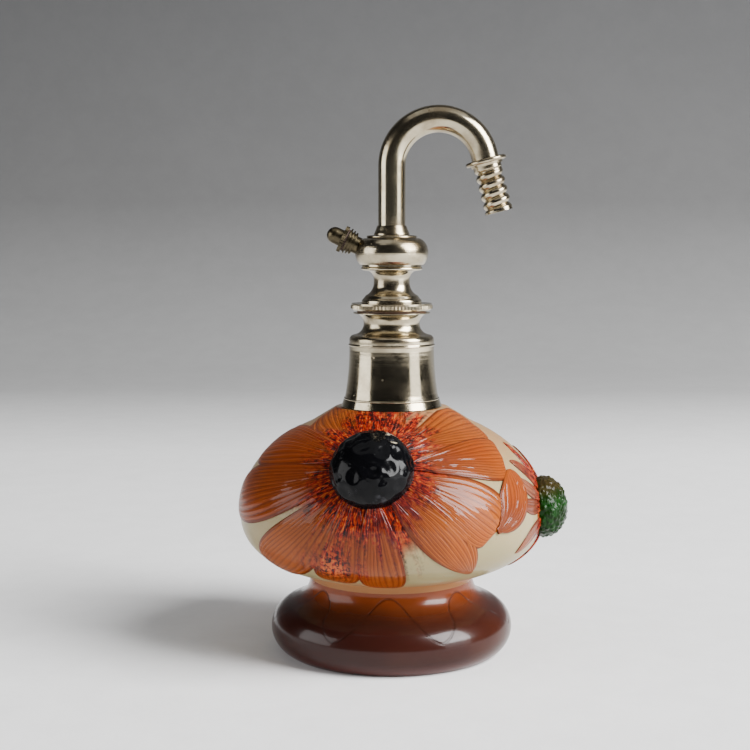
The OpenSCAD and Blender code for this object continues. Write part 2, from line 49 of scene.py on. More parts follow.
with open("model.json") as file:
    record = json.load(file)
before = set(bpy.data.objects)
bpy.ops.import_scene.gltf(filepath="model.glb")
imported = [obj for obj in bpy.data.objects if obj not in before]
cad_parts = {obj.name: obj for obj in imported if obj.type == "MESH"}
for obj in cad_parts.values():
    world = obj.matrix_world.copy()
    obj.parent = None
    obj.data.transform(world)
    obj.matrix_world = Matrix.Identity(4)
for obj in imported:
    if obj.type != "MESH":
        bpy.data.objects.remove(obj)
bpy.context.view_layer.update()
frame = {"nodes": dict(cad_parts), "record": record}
MM = 0.001
TAU = 2 * math.pi
MOUNTS = {mount["name"]: mount for mount in frame["record"]["mounts"]}
BODY_OF = {node: body for body, nodes in frame["record"]["behaviour"]["bodies"].items() for node in nodes}
SLOT_OF = {part["node"]: part["material_slot"] for part in frame["record"]["subparts"]}


# ---------------------------------------------------------------- sizes and colours

def length(name, about, default, low=0.0, high=1.0):
    return FloatProperty(name=name, description=about, default=default, min=low, max=high,
                         unit="LENGTH", precision=5)


def watts(name, about, default):
    return FloatProperty(name=name, description=about, default=default, min=0.0, unit="POWER")


def tint(name, about, default):
    return FloatVectorProperty(name=name, description=about, default=default, size=4, min=0.0, max=1.0,
                               subtype="COLOR")


class GlassSettings(bpy.types.PropertyGroup):
    """Relief and colours of the glass."""
    relief: length("Petal relief", "How far a petal stands out of the glass", 0.40 * MM, 0, 2 * MM)
    vein_depth: length("Vein depth", "Depth of the lines cut along the petals", 0.20 * MM, 0, 1 * MM)
    cream: tint("Cream", "Glass between the petals", (0.33, 0.265, 0.14, 1))
    amber: tint("Amber", "Glass of the petals", (0.23, 0.042, 0.005, 1))
    amber_dark: tint("Dark amber", "Lines cut in the petals", (0.065, 0.010, 0.003, 1))
    heart: tint("Heart", "Streaks round a blossom's heart", (0.15, 0.008, 0.005, 1))
    foot: tint("Foot", "Glass of the foot", (0.036, 0.009, 0.006, 1))
    black: tint("Black", "Front cabochon", (0.002, 0.002, 0.0025, 1))
    green: tint("Green", "Side cabochon", (0.004, 0.016, 0.002, 1))


class MetalSettings(bpy.types.PropertyGroup):
    """Colours of the fittings."""
    nickel: tint("Nickel", "Plating on the fittings", (0.465, 0.405, 0.285, 1))
    tarnish: tint("Tarnish", "Where the plating has dulled", (0.203, 0.152, 0.091, 1))
    brass: tint("Aged brass", "The nozzle and its nut", (0.13, 0.105, 0.060, 1))
    turns: IntProperty(name="Steps", description="Steps round a turned surface", default=192, min=24,
                       max=512)


class StageSettings(bpy.types.PropertyGroup):
    """Camera, floor and lights."""
    distance: length("Camera distance", "From the bottle's axis to the camera", 0.444, 0.1, 5)
    height: length("Camera height", "Height of the camera above the floor", 0.1272, 0, 5)
    pitch: FloatProperty(name="Pitch", description="How far the camera looks down",
                         default=math.radians(5.44), subtype="ANGLE")
    pan: FloatProperty(name="Pan", description="How far the camera turns to its left",
                       default=math.radians(0.66), subtype="ANGLE")
    lens: FloatProperty(name="Lens", description="Focal length", default=69.6, unit="CAMERA")
    key_power: watts("Key", "Power of the right softbox", 88.0)
    strip_power: watts("Strip", "Power of the low strip on the right", 2.4)
    fill_power: watts("Fill", "Power of the left softbox", 3.9)
    top_power: watts("Top", "Power of the overhead softbox", 2.4)


# ---------------------------------------------------------------- shader maths

class Value:
    """A socket's output that can be used in Python arithmetic; each operation adds a Math node."""

    def __init__(self, paint, socket):
        self.paint = paint
        self.socket = socket

    def math(self, operation, *others):
        return self.paint.node("ShaderNodeMath", {"operation": operation}, {
            i: v for i, v in enumerate((self,) + others)})

    def flipped(self, operation, other):
        return self.paint.node("ShaderNodeMath", {"operation": operation}, {0: other, 1: self})

    def __add__(self, other):
        return self.math("ADD", other)

    __radd__ = __add__

    def __sub__(self, other):
        return self.math("SUBTRACT", other)

    def __rsub__(self, other):
        return self.flipped("SUBTRACT", other)

    def __mul__(self, other):
        return self.math("MULTIPLY", other)

    __rmul__ = __mul__

    def __truediv__(self, other):
        return self.math("DIVIDE", other)

    def __pow__(self, other):
        return self.math("POWER", other)


class Paint:
    """A material under construction. node() adds any node; the other methods are its common uses."""

    def __init__(self, name):
        self.material = bpy.data.materials.new(name)
        self.material.use_nodes = True
        self.nodes = self.material.node_tree.nodes
        self.links = self.material.node_tree.links
        self.shader = self.nodes["Principled BSDF"]
        self.place = self.node("ShaderNodeTexCoord", output="Object")

    def feed(self, socket, value):
        if isinstance(value, Value):
            self.links.new(value.socket, socket)
        else:
            socket.default_value = value

    def node(self, kind, settings=None, inputs=None, output=0):
        made = self.nodes.new(kind)
        for name, value in (settings or {}).items():
            if name == "stops":
                ramp = made.color_ramp
                while len(ramp.elements) < len(value):
                    ramp.elements.new(0.5)
                for element, (position, colour) in zip(ramp.elements, value):
                    element.position = position
                    element.color = colour
            else:
                setattr(made, name, value)
        for key, value in (inputs or {}).items():
            self.feed(made.inputs[key], value)
        return Value(self, made.outputs[output])

    def noise(self, scale, detail=3.0, vector=None, rough=0.5, distortion=0.0):
        return self.node("ShaderNodeTexNoise", {}, {
            "Vector": vector or self.place, "Scale": scale, "Detail": detail, "Roughness": rough,
            "Distortion": distortion})

    def cells(self, scale):
        return self.node("ShaderNodeTexVoronoi", {}, {"Vector": self.place, "Scale": scale}, "Distance")

    def attribute(self, name):
        return self.node("ShaderNodeAttribute", {"attribute_name": name}, output="Fac")

    def step(self, value, low, high, to_low=0.0, to_high=1.0):
        """Smooth step of value from low to high, as to_low to to_high."""
        return self.node("ShaderNodeMapRange", {"interpolation_type": "SMOOTHSTEP"}, {
            0: value, 1: low, 2: high, 3: to_low, 4: to_high})

    def ramp(self, value, stops):
        return self.node("ShaderNodeValToRGB", {"stops": stops}, {0: value})

    def mix(self, share, first, second, blend="MIX"):
        """Colour mix: first where share is 0, second where it is 1."""
        return self.node("ShaderNodeMix", {"data_type": "RGBA", "blend_type": blend}, {
            0: share, 6: first, 7: second}, 2)

    def parts(self, vector):
        split = self.node("ShaderNodeSeparateXYZ", {}, {0: vector}).socket.node
        return [Value(self, socket) for socket in split.outputs]

    def join(self, x, y, z):
        return self.node("ShaderNodeCombineXYZ", {}, {0: x, 1: y, 2: z})

    def bump(self, height, depth):
        """A bump of that depth in metres where height is 1."""
        return self.node("ShaderNodeBump", {}, {"Height": height, "Distance": depth, "Strength": 1.0})

    def finish(self, **sockets):
        """Sets or links the shader's sockets; base_color stands for Base Color."""
        for name, value in sockets.items():
            title = name.replace("_", " ").title().replace("Ior", "IOR")
            self.feed(self.shader.inputs[title], value)
        return self.material


# ---------------------------------------------------------------- surfaces

def settings():
    """The user's glass, metal and stage settings."""
    scene = bpy.context.scene
    return scene.atomiser_glass, scene.atomiser_metal, scene.atomiser_stage


def unit(vector):
    vector = np.asarray(vector, float)
    return vector / np.linalg.norm(vector, axis=-1, keepdims=True)


def basis(axis):
    """Rows are two directions square to axis, and axis itself; the first lies level."""
    axis = unit(axis)
    side = np.cross((0, 0, 1), axis)
    side = unit(side) if np.linalg.norm(side) > 1e-6 else np.array((1.0, 0, 0))
    return np.array((side, np.cross(axis, side), axis))


def corners_of(node):
    mesh = frame["nodes"][node].data
    co = np.zeros(len(mesh.vertices) * 3, np.float32)
    mesh.vertices.foreach_get("co", co)
    return co.reshape(-1, 3).astype(float)


def merged(points, reach=6e-6):
    """Groups points closer than reach: the centres, and the centre that each point belongs to."""
    keys, index = np.unique(np.round(points / 1e-6).astype(int), axis=0, return_inverse=True)
    keys = keys * 1e-6
    centres, owner = [], np.zeros(len(keys), int)
    for i, key in enumerate(keys):
        near = [k for k, centre in enumerate(centres) if np.abs(centre - key).max() < reach]
        if not near:
            centres.append(key)
        owner[i] = near[0] if near else len(centres) - 1
    return np.array(centres), owner[index.reshape(-1)]


def section_of(node, origin=(0, 0, 0), axis=(0, 0, 1)):
    """The section of a turned CAD node: its corners [radius, height] about an axis, in order round it.

    Triangles of a turned face join corners that are neighbours on the section, so the section is the
    walk from each corner to the next one that shares a triangle with it. A piece that is solid to the
    axis has flat end faces, so its walk has two ends, and they are closed by points on the axis.
    """
    local = (corners_of(node) - origin) @ basis(axis).T
    flat = np.column_stack((np.hypot(local[:, 0], local[:, 1]), local[:, 2]))
    centres, owner = merged(flat)
    mesh = frame["nodes"][node].data
    ends = np.zeros(len(mesh.edges) * 2, int)
    mesh.edges.foreach_get("vertices", ends)
    pairs = owner[ends.reshape(-1, 2)]
    pairs = np.unique(np.sort(pairs[pairs[:, 0] != pairs[:, 1]], axis=1), axis=0)
    near = {k: [int(b if a == k else a) for a, b in pairs if k in (a, b)] for k in range(len(centres))}
    ends = [k for k in near if len(near[k]) == 1]
    walk = ends[:1] or [int(np.argmin(centres[:, 0] * 1e3 + centres[:, 1]))]
    while True:
        fresh = [k for k in near[walk[-1]] if k not in walk]
        if not fresh:
            break
        walk.append(fresh[0])
    loop = centres[walk]
    if ends:
        caps = [[[0.0, end[1]]] if end[0] > 1e-6 else np.zeros((0, 2)) for end in (loop[0], loop[-1])]
        loop = np.concatenate((caps[0], loop, caps[1]))
    turn = np.sum(loop[:, 0] * np.roll(loop[:, 1], -1) - np.roll(loop[:, 0], -1) * loop[:, 1])
    return loop if turn > 0 else loop[::-1]


def smoothed(loop, sharp=24.0, spacing=0.35 * MM):
    """The section with its curved runs rounded: a Hermite curve through the corners.

    The curve's slope at a corner is the mean of its two sides' directions, weighted towards the shorter
    side. Where the section turns by more than sharp degrees the corner stays, and each side keeps its own
    direction there.
    """
    after = np.roll(loop, -1, 0) - loop
    size = np.linalg.norm(after, axis=1)
    ahead = after / size[:, None]
    behind = np.roll(ahead, 1, 0)
    size_behind = np.roll(size, 1)
    cosine = np.clip((ahead * behind).sum(1), -1, 1)
    corner = (np.degrees(np.arccos(cosine)) > sharp) | (loop[:, 0] < 1e-6)
    mean = unit(behind * size[:, None] + ahead * size_behind[:, None] + 1e-12)
    start = np.where(corner[:, None], ahead, mean)
    finish = np.roll(np.where(corner[:, None], behind, mean), -1, 0)
    both = corner & np.roll(corner, -1)
    pieces = []
    for i in range(len(loop)):
        steps = 1 if both[i] else max(1, int(np.ceil(size[i] / spacing)))
        t = (np.arange(steps) / steps)[:, None]
        a, b = loop[i], loop[(i + 1) % len(loop)]
        pieces.append((2 * t**3 - 3 * t**2 + 1) * a + (t**3 - 2 * t**2 + t) * size[i] * start[i]
                      + (3 * t**2 - 2 * t**3) * b + (t**3 - t**2) * size[i] * finish[i])
    points = np.concatenate(pieces)
    points[:, 0] = np.maximum(points[:, 0], 0)
    return points


def new_object(name, points, faces, sharp_angle=34.0):
    """A mesh object from points and faces, shaded smooth apart from edges sharper than sharp_angle."""
    mesh = bpy.data.meshes.new(name)
    mesh.from_pydata(points.tolist(), [], faces.tolist() if hasattr(faces, "tolist") else faces)
    mesh.validate()
    mesh.shade_smooth()
    mesh.set_sharp_from_angle(angle=math.radians(sharp_angle))
    made = bpy.data.objects.new(name, mesh)
    bpy.context.scene.collection.objects.link(made)
    return made


def grid_faces(rows, columns, wrap_rows=False, wrap_columns=True):
    """Quads of a grid of points stored row by row."""
    i = np.arange(rows if wrap_rows else rows - 1)[:, None]
    j = np.arange(columns if wrap_columns else columns - 1)[None, :]
    down, right = (i + 1) % rows, (j + 1) % columns
    return np.stack((i * columns + j, i * columns + right, down * columns + right, down * columns + j),
                    -1).reshape(-1, 4)


def turned(name, section, origin=(0, 0, 0), axis=(0, 0, 1), steps=192):
    """A surface of revolution: each section point [radius, height] is carried round the axis.

    Points on the axis are shared by all the steps, so that a pole is one vertex.
    """
    angle = TAU * np.arange(steps) / steps
    side, up, along = basis(axis)
    ring = np.cos(angle)[:, None] * side + np.sin(angle)[:, None] * up
    points = np.asarray(origin) + section[:, 0, None, None] * ring[None] + section[:, 1, None, None] * along
    index = np.arange(len(section) * steps).reshape(len(section), steps)
    index = np.where(section[:, 0, None] < 1e-7, index[:, :1], index)
    a, b = index, np.roll(index, -1, 0)
    quads = np.stack((a, np.roll(a, -1, 1), np.roll(b, -1, 1), b), -1).reshape(-1, 4)
    faces = [list(dict.fromkeys(quad)) for quad in quads.tolist()]
    used = np.unique(index)
    place = np.zeros(len(section) * steps, int)
    place[used] = np.arange(len(used))
    faces = [[int(place[k]) for k in face] for face in faces if len(face) > 2]
    return new_object(name, points.reshape(-1, 3)[used], faces)


def settle(piece, node, material):
    """Gives a finished piece its material and its body, and hides the CAD node that it stands for."""
    piece.data.materials.clear()
    piece.data.materials.append(material)
    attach(piece, BODY_OF[node])
    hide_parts(node)
    return piece


def coat(node, material):
    """Gives a CAD node that keeps its own mesh its finish."""
    piece = frame["nodes"][node]
    piece.data.materials.clear()
    piece.data.materials.append(material)


class Glass:
    """The outside of the bottle as a surface of two parameters: turn from the front, and arc length."""

    def __init__(self):
        loop = smoothed(section_of("bottle_body"))
        low = loop[:, 1] < loop[:, 1].min() + 1e-6
        loop = np.roll(loop, -int(np.argmax(loop[:, 0] * low)), 0)
        outside = loop[:int(np.argmax(loop[:, 0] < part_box("collar")[1].x))]
        self.radius, self.height = outside[:, 0], outside[:, 1]
        steps = np.hypot(np.diff(self.radius), np.diff(self.height))
        self.arc = np.concatenate(([0], np.cumsum(steps)))

    def at(self, turn, arc, lift=0.0):
        """The point at a turn and arc length, lifted along the surface's normal."""
        arc = np.clip(arc, self.arc[0], self.arc[-1])
        radius = np.interp(arc, self.arc, self.radius)
        height = np.interp(arc, self.arc, self.height)
        before, after = arc - 0.6 * MM, arc + 0.6 * MM
        slope_r = np.interp(after, self.arc, self.radius) - np.interp(before, self.arc, self.radius)
        slope_z = np.interp(after, self.arc, self.height) - np.interp(before, self.arc, self.height)
        size = np.hypot(slope_r, slope_z) + 1e-12
        radius = radius + lift * slope_z / size
        height = height - lift * slope_r / size
        return np.stack((radius * np.sin(turn), -radius * np.cos(turn), height), -1)

    def nearest(self, point):
        """Turn and arc length of the surface point nearest to a point."""
        radius = math.hypot(point[0], point[1])
        arc = self.arc[np.argmin(np.hypot(self.radius - radius, self.height - point[2]))]
        return math.atan2(point[0], -point[1]), float(arc)


class Blossom:
    """Where a flower sits: the turn and arc length of its heart, and its frame of right, up and out."""

    def __init__(self, glass, cabochon):
        self.glass = glass
        middle = sum(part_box(cabochon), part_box(cabochon)[0] * 0) / 2
        self.turn, self.arc = glass.nearest(middle)
        self.heart = glass.at(np.float64(self.turn), np.float64(self.arc))
        outer = glass.at(np.float64(self.turn), np.float64(self.arc), 1.0)
        self.out = unit(outer - self.heart)
        self.right = np.array((math.cos(self.turn), math.sin(self.turn), 0))
        self.up = np.cross(self.out, self.right)

    def drape(self, across, along, lift):
        """Lays flat flower coordinates on the glass: across follows its girth, along its meridian."""
        arc = self.arc + along
        radius = np.interp(arc, self.glass.arc, self.glass.radius)
        middle = np.interp(self.arc, self.glass.arc, self.glass.radius)
        return self.glass.at(self.turn + across / (0.5 * (radius + middle)), arc, lift)

    def local(self, points):
        """Points in the flower's own frame: right, up, out."""
        return (points - self.heart) @ np.array((self.right, self.up, self.out)).T


def flattened(paint, blossom):
    """Object coordinates in a flower's frame, as right, up and out in millimetres."""
    rows = (blossom.right, blossom.up, blossom.out)
    moved = paint.node("ShaderNodeVectorMath", {"operation": "SUBTRACT"}, {
        0: paint.place, 1: tuple(blossom.heart)})
    return [paint.node("ShaderNodeVectorMath", {"operation": "DOT_PRODUCT"}, {
        0: moved, 1: tuple(float(c) / MM for c in row)}, "Value") for row in rows]


def petal_mesh(blossom, reach, relief, depth, root, tip, width, bow, veins, blunt, layer):
    """One petal as a closed shell: t runs along it and q round its section.

    Its spine is root + (tip - root) * t, pushed to its left by bow * 4 * t * (1 - t). The half width is
    width * t^0.8 * (1 - t)^blunt, scaled to its largest. The top stands relief above the glass, falls off
    towards the sides as (1 - |q|^6)^0.5, and is cut by lines along constant q; the underside is sunk in
    the glass.
    """
    rows, top, under = reach
    t = np.linspace(0.0, 1.0, rows) ** 0.85
    root, tip = np.array(root, float), np.array(tip, float)
    ahead = tip - root
    left = unit(np.array((-ahead[1], ahead[0])))
    spine = root + ahead * t[:, None] + left * (bow * 4 * t * (1 - t))[:, None]
    heading = unit(ahead + left * (bow * 4 * (1 - 2 * t))[:, None])
    best = 0.8 / (0.8 + blunt)
    half = width * (t ** 0.8 * (1 - t) ** blunt) / (best ** 0.8 * (1 - best) ** blunt)
    half = np.maximum(half, 0.16 * width * (1 - t) ** 2) + 1e-6
    q_top = np.linspace(-1.0, 1.0, top)
    q = np.concatenate((np.sin(q_top * math.pi / 2), np.linspace(1.0, -1.0, under + 2)[1:-1]))
    above = np.concatenate((np.ones(top), np.zeros(under)))
    u = spine[:, :1] - heading[:, 1:] * half[:, None] * q
    v = spine[:, 1:] + heading[:, :1] * half[:, None] * q
    edge = np.sqrt(np.clip(1 - np.abs(q) ** 6, 0, 1))
    end = np.sqrt(np.clip(1 - t ** 14, 0, 1))
    phase = veins * (q + 0.09 * np.sin(3 * q + 2.4 * t[:, None])) + 0.18 * np.sin(3.5 * t[:, None] + 4 * q)
    cut = (0.5 + 0.5 * np.cos(TAU * phase)) ** 2 * (0.62 + 0.38 * np.sin(1.7 * phase + 3 * t[:, None]))
    fade = np.clip(t * 6, 0, 1) * np.clip((1 - t) * 5, 0, 1)
    top_lift = layer + relief * edge * end[:, None] - depth * cut * fade[:, None] * edge
    lift = np.where(above > 0, top_lift, -0.45 * MM)
    points = blossom.drape(u, v, lift)
    return points, np.broadcast_to(t[:, None], lift.shape), np.broadcast_to(q, lift.shape), phase


def petals(name, blossom, table, material, reach=(44, 61, 7)):
    """All the petals of a blossom as one mesh, with the attributes along, side, vein and tone."""
    glass, _, _ = settings()
    points, faces, values = [], [], {"along": [], "side": [], "vein": [], "tone": []}
    rng = np.random.default_rng(7)
    base = 0
    for root, tip, width, bow, veins, blunt, layer in table:
        made, along, side, vein = petal_mesh(
            blossom, reach, glass.relief, glass.vein_depth, np.array(root) * MM, np.array(tip) * MM,
            width * MM, bow * MM, veins, blunt, layer * MM)
        rows, columns = along.shape
        points.append(made.reshape(-1, 3))
        faces.append(base + grid_faces(rows, columns))
        for value, key in ((along, "along"), (side, "side"), (vein, "vein")):
            values[key].append(value.reshape(-1))
        values["tone"].append(np.full(rows * columns, rng.random()))
        for row, order in ((0, 1), (rows - 1, -1)):
            ends = base + row * columns + np.arange(columns)[::order]
            points.append(made[row].mean(0)[None])
            middle = base + rows * columns + (row > 0)
            faces.append(np.stack((np.full(columns, middle), np.roll(ends, -1), ends, ends), -1))
            for key in values:
                values[key].append(np.array([values[key][-1][0] if key != "along" else float(row > 0)]))
        base += rows * columns + 2
    lists = [face[:3] if face[2] == face[3] else face for face in np.concatenate(faces).tolist()]
    piece = new_object(name, np.concatenate(points), lists, 50)
    for key, parts in values.items():
        layer = piece.data.attributes.new(key, "FLOAT", "POINT")
        layer.data.foreach_set("value", np.concatenate(parts).astype(np.float32))
    piece.data.materials.append(material)
    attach(piece, "bottle")
    return piece


def spiral_rib(name, node, origin, axis, material):
    """A tube with one round spiral ridge, drawn over a CAD node.

    At height z and angle a the radius is crest - depth * (1 - |cos((TAU * z / pitch - a) / 2)|^0.8), and
    the ridge fades to the crest's radius over a plain land at each end.
    """
    local = (corners_of(node) - origin) @ basis(axis).T
    radius = np.hypot(local[:, 0], local[:, 1])
    crest, bore = radius.max(), radius.min()
    low, high = local[:, 2].min(), local[:, 2].max()
    ridge = local[radius > crest - 0.02 * MM][:, 2].min()
    pitch, depth, land = 2.8 * MM, 0.95 * MM, 1.0 * MM
    wall, chamfer, shank = 0.5 * MM, 0.25 * MM, 3.3 * MM
    columns, rows = 96, 200
    z = np.linspace(ridge, high, rows)
    a = TAU * np.arange(columns) / columns
    groove = 1 - np.abs(np.cos((TAU * z[:, None] / pitch - a) / 2)) ** 0.8
    fade = np.clip((z - ridge - land) / land, 0, 1) * np.clip((high - land * 0.6 - z) / land, 0, 1)
    outside = crest - depth * groove * fade[:, None]
    z_out = z - chamfer * (np.arange(rows) == rows - 1)
    rings = [(np.full(columns, bore), high), (np.full(columns, crest - wall), high)]
    rings += [(outside[i], z_out[i]) for i in range(rows - 1, -1, -1)]
    rings += [(np.full(columns, r), h) for r, h in ((shank, ridge), (shank, low), (bore, low))]
    side, up, along = basis(axis)
    ring = np.cos(a)[:, None] * side + np.sin(a)[:, None] * up
    points = np.stack([origin + r[:, None] * ring + h * along for r, h in rings])
    faces = grid_faces(len(rings), columns, wrap_rows=True)[:, ::-1]
    piece = new_object(name, points.reshape(-1, 3), faces, 50)
    return settle(piece, node, material)


def dome_mesh(name, blossom, radius, height, shape, rings=110, steps=220):
    """A moulded cabochon: a closed flattened ball whose surface is moved in and out by shape.

    A point at angle a from the top and b round it lies at radius * sin(a) out and height * cos(a) up,
    moved along its normal by shape(direction). The lower part is sunk in the glass.
    """
    a = np.linspace(0, math.pi * 0.70, rings)[:, None]
    b = TAU * np.arange(steps)[None, :] / steps
    direction = np.stack((np.sin(a) * np.cos(b), np.sin(a) * np.sin(b), np.cos(a) + 0 * b), -1)
    normal = unit(direction / np.array((radius, radius, height)))
    point = direction * np.array((radius, radius, height)) + normal * shape(direction)[..., None]
    world = blossom.heart + point @ np.array((blossom.right, blossom.up, blossom.out))
    world[0] = world[0].mean(0)
    flat = world.reshape(-1, 3)
    faces = grid_faces(rings, steps)[:, ::-1].tolist()
    faces = [list(dict.fromkeys(0 if k < steps else k for k in face)) for face in faces]
    faces.append([(rings - 1) * steps + k for k in range(steps)])
    return new_object(name, flat, faces, 60)


def scattered(count, seed, spread=0.82):
    """Directions spread evenly over a dome by the golden angle, then shaken."""
    rng = np.random.default_rng(seed)
    k = np.arange(count) + 0.5
    height = 1 - k / count * spread
    angle = k * math.pi * (3 - math.sqrt(5)) + rng.normal(0, 0.35, count)
    flat = np.sqrt(1 - height**2)
    points = np.stack((flat * np.cos(angle), flat * np.sin(angle), height), -1)
    return unit(points + rng.normal(0, 0.05, points.shape)), rng


def near(direction, seeds):
    """Angles between each direction and each seed."""
    return np.arccos(np.clip(direction @ seeds.T, -1, 1))


# ---------------------------------------------------------------- finishes

# In millimetres: how far a heart's middle lies below its cabochon's, and where, behind the glass of its
# own side, its colour fades out.
HEART_DROP = 4.5
BEHIND = (-26.0, -18.0)


def heart_colour(paint, blossom, base, size, lobe=None):
    """Red streaks that ring a blossom's heart, laid over a base colour.

    A lobe is the place of a cluster of bright grains that hangs below the heart, beside a dark patch.
    """
    glass, _, _ = settings()
    x, y, z = flattened(paint, blossom)
    spread = (x * x + y * y + 1e-4) ** 0.5
    low = y + HEART_DROP
    tall = (low * 0.42).math("MAXIMUM", low * -1.0)
    oval = (x * x * 0.75 + tall * tall + 1e-4) ** 0.5
    fan = paint.join(x / spread * 9.0, y / spread * 9.0, spread * 0.10)
    fine = paint.join(x / spread * 32.0, y / spread * 32.0, spread * 0.42)
    wide = paint.noise(1.0, 2.0, fan)
    streak = paint.noise(1.0, 4.0, fine, distortion=0.8)
    grain = paint.noise(820.0, 3.0, distortion=0.6)
    speck = paint.noise(1500.0, 2.0)
    if lobe:
        hang = ((x - lobe[0]) ** 2.0 + ((y - lobe[1]) * 1.6) ** 2.0 + 1e-4) ** 0.5
        oval = oval.math("MINIMUM", hang + size * 0.36)
    edge = oval + (wide - 0.5) * (size * 1.3) + (grain - 0.5) * (size * 0.5)
    share = paint.step(edge, size * 0.80, size * 1.30, 1.0, 0.0) * paint.step(z, *BEHIND)
    tones = paint.ramp(paint.step(streak * 0.62 + grain * 0.38, 0.34, 0.64), [
        (0.00, (0.008, 0.004, 0.005, 1)), (0.30, (0.040, 0.005, 0.004, 1)), (0.54, tuple(glass.heart)),
        (0.78, (0.26, 0.017, 0.005, 1)), (0.92, (0.36, 0.055, 0.009, 1)), (1.0, (0.32, 0.10, 0.02, 1))])
    tones = paint.mix(paint.step(speck, 0.68, 0.78), tones, (0.45, 0.09, 0.015, 1))
    if lobe:
        dark = ((x + lobe[0]) ** 2.0 + (y - lobe[1] * 0.62) ** 2.0 + 1e-4) ** 0.5
        tones = paint.mix(paint.step(dark, 17.0, 6.0) * 0.70, tones, (0.060, 0.006, 0.006, 1))
        bright = paint.step(hang, 9.0, 3.0) * paint.step(grain, 0.44, 0.56)
        tones = paint.mix(bright, tones, (0.50, 0.10, 0.016, 1))
    return paint.mix(share, base, tones), share * streak


def glossy_glass(paint, colour, **sockets):
    """Blown glass: a soft translucent body under a clear polished skin."""
    values = {"base_color": colour, "roughness": 0.38, "ior": 1.45, "specular_ior_level": 0.06,
              "coat_weight": 0.36, "coat_roughness": 0.03, "coat_ior": 1.45, "subsurface_weight": 0.10,
              "subsurface_radius": (1.0, 0.45, 0.20), "subsurface_scale": 0.003}
    values.update(sockets)
    return paint.finish(**values)


def bottle_finish(hearts):
    """Cream glass, amber towards the neck and the foot, with a disc and a heart under each blossom."""
    glass, _, _ = settings()
    paint = Paint("blown_glass")
    cloud = paint.noise(28.0, 3.0, rough=0.6)
    bubble = paint.noise(1100.0, 1.0)
    z = paint.parts(paint.place)[2]
    colour = paint.mix(paint.step(cloud, 0.35, 0.68), tuple(glass.cream), (0.28, 0.235, 0.12, 1))
    high = paint.step(z + (cloud - 0.5) * 0.02, 0.050, 0.068)
    colour = paint.mix(high * 0.65, colour, (0.34, 0.16, 0.060, 1))
    low = paint.step(z + (cloud - 0.5) * 0.006, 0.0290, 0.0250)
    colour = paint.mix(low * 0.75, colour, (0.36, 0.13, 0.045, 1))
    colour = paint.mix(paint.step(bubble, 0.70, 0.76) * 0.5, colour, (0.30, 0.16, 0.07, 1))
    for blossom, size in hearts:
        right, up, out = flattened(paint, blossom)
        oval = (right * right + up * up + 1e-4) ** 0.5
        disc = paint.step(oval, size * 1.3, size * 1.5, 1.0, 0.0) * paint.step(out, *BEHIND)
        colour = paint.mix(disc, colour, (0.22, 0.042, 0.007, 1))
        colour = heart_colour(paint, blossom, colour, size)[0]
    ripple = paint.noise(90.0, 2.0)
    return glossy_glass(paint, colour, normal=paint.bump(ripple, 0.10 * MM))


def petal_finish(name, blossom, heart, amber, dark, tip, lobe=None):
    """Petal glass: lines cut along it, darker edges, a paler tip, and the red heart at its root."""
    paint = Paint(name)
    along, side = paint.attribute("along"), paint.attribute("side")
    vein, tone = paint.attribute("vein"), paint.attribute("tone")
    cloud = paint.noise(75.0, 3.0)
    wave = (vein * TAU).math("COSINE") * 0.5 + 0.5
    fine = ((vein * (TAU * 2) + (cloud - 0.5) * 3.0).math("COSINE") * 0.5 + 0.5) ** 3.0
    colour = paint.mix(paint.step(cloud + (tone - 0.5) * 0.5, 0.25, 0.75), amber, tip)
    colour = paint.mix(paint.step(along, 0.72, 1.0) * 0.45, colour, tip)
    line = wave ** 3.0 * (0.20 + cloud * 0.60) + fine * 0.08
    rim = paint.step(side.math("ABSOLUTE"), 0.86, 0.98)
    root = paint.step(along + (cloud - 0.5) * 0.5, 0.75, 0.15) * 0.45
    shadow = paint.step(paint.noise(38.0, 2.0), 0.45, 0.70) * 0.35
    colour = paint.mix(root, colour, dark)
    colour = paint.mix(shadow, colour, dark)
    colour = paint.mix(line, colour, dark)
    colour = paint.mix(rim * 0.75, colour, dark)
    colour, streaks = heart_colour(paint, blossom, colour, heart, lobe)
    ripple = paint.noise(160.0, 2.0)
    bumps = paint.bump(fine * -0.5 + ripple * 0.4 + streaks * 1.6, 0.09 * MM)
    return glossy_glass(paint, colour, normal=bumps)


def foot_finish():
    """Dark brown glass, painted paler at the waist as a glow of light through the glass, where the points of
    engraved leaves rise from the rim.
    """
    glass, _, _ = settings()
    paint = Paint("foot_glass")
    x, y, z = paint.parts(paint.place)
    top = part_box("foot")[1].z
    cloud = paint.noise(45.0, 3.0)
    # Painted light: the paler, redder band at the waist stands in for light shining through the glass from
    # the bottle above.
    painted_glow = paint.step(z + (cloud - 0.5) * 0.004, top - 8.0 * MM, top - 0.5 * MM)
    colour = paint.mix(painted_glow, tuple(glass.foot), (0.26, 0.052, 0.010, 1))
    rim = paint.step(z, 0.0045, 0.0005)
    colour = paint.mix(rim * 0.6, colour, (0.10, 0.016, 0.012, 1))
    colour = paint.mix(paint.step(cloud, 0.5, 0.75) * 0.35, colour, (0.075, 0.020, 0.009, 1))
    leaves, reach = 7, 12.5
    turn = y.math("ARCTAN2", x) * (leaves / 2) + 0.9
    leaf = (turn.math("SINE").math("ABSOLUTE") ** 1.6) * -11.0 + reach
    below = (z - top) * (-1 / MM)
    cut = paint.step((below - leaf).math("ABSOLUTE"), 0.55, 0.10)
    colour = paint.mix(cut * 0.45, colour, (0.020, 0.006, 0.004, 1))
    ripple = paint.noise(70.0, 2.0)
    bumps = paint.bump(cut * -1.0 + ripple * 0.5, 0.16 * MM)
    return glossy_glass(paint, colour, normal=bumps, roughness=0.22, coat_weight=0.22,
                        transmission_weight=0.30, subsurface_weight=0.0)


